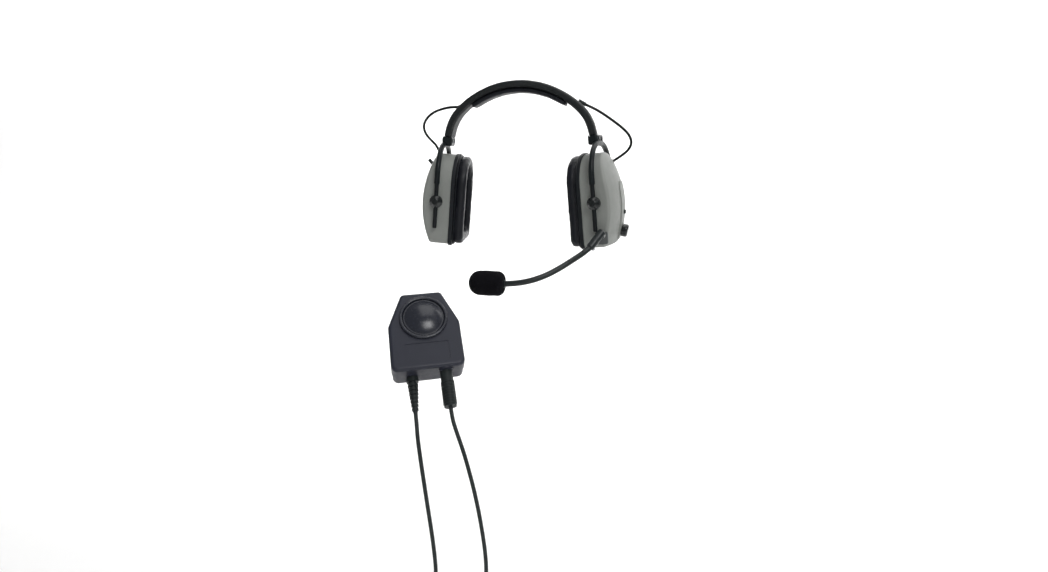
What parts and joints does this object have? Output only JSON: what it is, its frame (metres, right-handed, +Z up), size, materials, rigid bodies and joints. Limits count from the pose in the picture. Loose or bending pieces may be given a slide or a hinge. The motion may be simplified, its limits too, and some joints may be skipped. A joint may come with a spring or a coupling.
{
  "type": "radio headset",
  "caption": "Over-the-head two-way radio headset with slide-and-tilt ear cups, a boom microphone and a clip-on push-to-talk box on its leads.",
  "frame": {"origin": "middle of the head opening, level with the pivots the ear cups tilt on", "axes": "+Z up, the wearer faces -Y, +X towards the wearer's left"},
  "size_m": [0.2618, 0.2838, 0.629],
  "materials": {
    "band_cover": "braided grain, satin",
    "band_pad": "soft vinyl",
    "band_spring": "brushed",
    "fork_plastic": "smooth satin",
    "rod_metal": "satin black",
    "rivet": "satin black",
    "knob": "glossy",
    "shell": "fine matte",
    "bracket": "fine matte",
    "base_plate": "matte",
    "cushion": "soft vinyl, slightly glossy",
    "foam": "open-cell foam",
    "speaker": "satin",
    "screw": "plated",
    "cable": "smooth rubber",
    "lead_jacket": "smooth rubber",
    "relief": "ribbed rubber",
    "board": "solder mask",
    "dark_metal": "satin",
    "gooseneck": "satin sleeve over a bendable core",
    "windscreen": "closed foam",
    "box": "satin",
    "box_button": "gloss",
    "gasket": "matte",
    "plug_metal": "nickel-gold plate"
  },
  "bodies": {
    "headband": {"band_spring": "band_spring", "band_cover": "band_cover", "headband_pad": "band_pad", "left_yoke": "fork_plastic", "right_yoke": "fork_plastic", "left_rods": "rod_metal", "right_rods": "rod_metal", "yoke_rivets": "rivet", "cable_grommets": "relief", "left_loop_cable": "cable", "right_loop_cable": "cable"},
    "left_slider": {"left_pivot_knobs": "knob"},
    "right_slider": {"right_pivot_knobs": "knob"},
    "left_cup": {"left_cup_shell": "shell", "left_base_plate": "base_plate", "left_cushion": "cushion", "left_foam_liner": "foam", "left_speaker": "speaker", "left_plate_screws": "screw", "left_cable_boot": "relief", "circuit_board": "board", "control_bezel": "shell", "volume_potentiometer": "dark_metal", "boom_bracket": "bracket", "lead_socket": "dark_metal"},
    "right_cup": {"right_cup_shell": "shell", "right_base_plate": "base_plate", "right_cushion": "cushion", "right_foam_liner": "foam", "right_speaker": "speaker", "right_plate_screws": "screw", "right_cable_boot": "relief", "antenna_stub": "relief"},
    "volume_knob": {"volume_knob": "knob"},
    "mode_button": {"mode_button": "knob"},
    "boom": {"boom_sleeve": "dark_metal", "boom_gooseneck": "gooseneck", "boom_screw": "screw", "mic_housing": "dark_metal", "mic_capsule": "dark_metal", "windscreen": "windscreen"},
    "ptt_unit": {"ptt_front_shell": "box", "ptt_rear_shell": "box", "ptt_gasket": "gasket", "ptt_button_ring": "box_button", "ptt_switch": "board", "ptt_screws": "screw", "clip_pin": "screw", "clip_spring": "screw", "radio_lead_boot": "relief", "radio_lead": "lead_jacket", "radio_lead_hank": "lead_jacket", "radio_plug": "plug_metal", "ptt_socket": "relief", "lead_plug": "relief", "headset_lead": "lead_jacket", "headset_lead_hank": "lead_jacket", "headset_plug": "relief"},
    "ptt_button": {"ptt_button": "box_button"},
    "clip_lever": {"clip_lever": "box"}
  },
  "joints": [
    {"name": "left_slide", "type": "slide", "parent": "headband", "child": "left_slider", "axis": [-0.0944, 0.0166, 0.9954], "range_m": [-0.024, 0.0015], "deforming": ["left_loop_cable"]},
    {"name": "left_tilt", "type": "hinge", "parent": "left_slider", "child": "left_cup", "pos_m": [0.1, 0, 0], "axis": [-0.1736, -0.9848, 0], "range_deg": [-6, 12], "deforming": ["left_loop_cable"]},
    {"name": "right_slide", "type": "slide", "parent": "headband", "child": "right_slider", "axis": [0.0944, 0.0166, 0.9954], "range_m": [-0.024, 0.0015], "deforming": ["right_loop_cable"]},
    {"name": "right_tilt", "type": "hinge", "parent": "right_slider", "child": "right_cup", "pos_m": [-0.1, 0, 0], "axis": [-0.1736, 0.9848, 0], "range_deg": [-6, 4], "deforming": ["right_loop_cable"]},
    {"name": "boom_swivel", "type": "hinge", "parent": "left_cup", "child": "boom", "pos_m": [0.10137, -0.05327, -0.03372], "axis": [0.1736, 0.9848, 0], "range_deg": [-25, 80]},
    {"name": "volume_turn", "type": "hinge", "parent": "left_cup", "child": "volume_knob", "pos_m": [0.12152, 0.00534, -0.03422], "axis": [0.9774, -0.0942, -0.1891], "range_deg": [-140, 140]},
    {"name": "mode_press", "type": "slide", "parent": "left_cup", "child": "mode_button", "axis": [-0.9952, 0.0974, 0.007], "range_m": [0, 0.001], "stiffness_N_per_m": 1500, "springref_m": -0.0003},
    {"name": "ptt_place", "type": "slide", "parent": "headband", "child": "ptt_unit", "axis": [0, 0, 1], "range_m": [-0.1, 0.02]},
    {"name": "ptt_press", "type": "slide", "parent": "ptt_unit", "child": "ptt_button", "axis": [-0.2952, 0.633, -0.7157], "range_m": [0, 0.002], "stiffness_N_per_m": 1500, "springref_m": -0.0005},
    {"name": "clip_open", "type": "hinge", "parent": "ptt_unit", "child": "clip_lever", "pos_m": [-0.07851, -0.13001, -0.13477], "axis": [0.8964, 0.4428, 0.0219], "range_deg": [0, 12], "stiffness_Nm_per_rad": 0.6, "springref_deg": -14.32, "deforming": ["clip_spring"]}
  ]
}
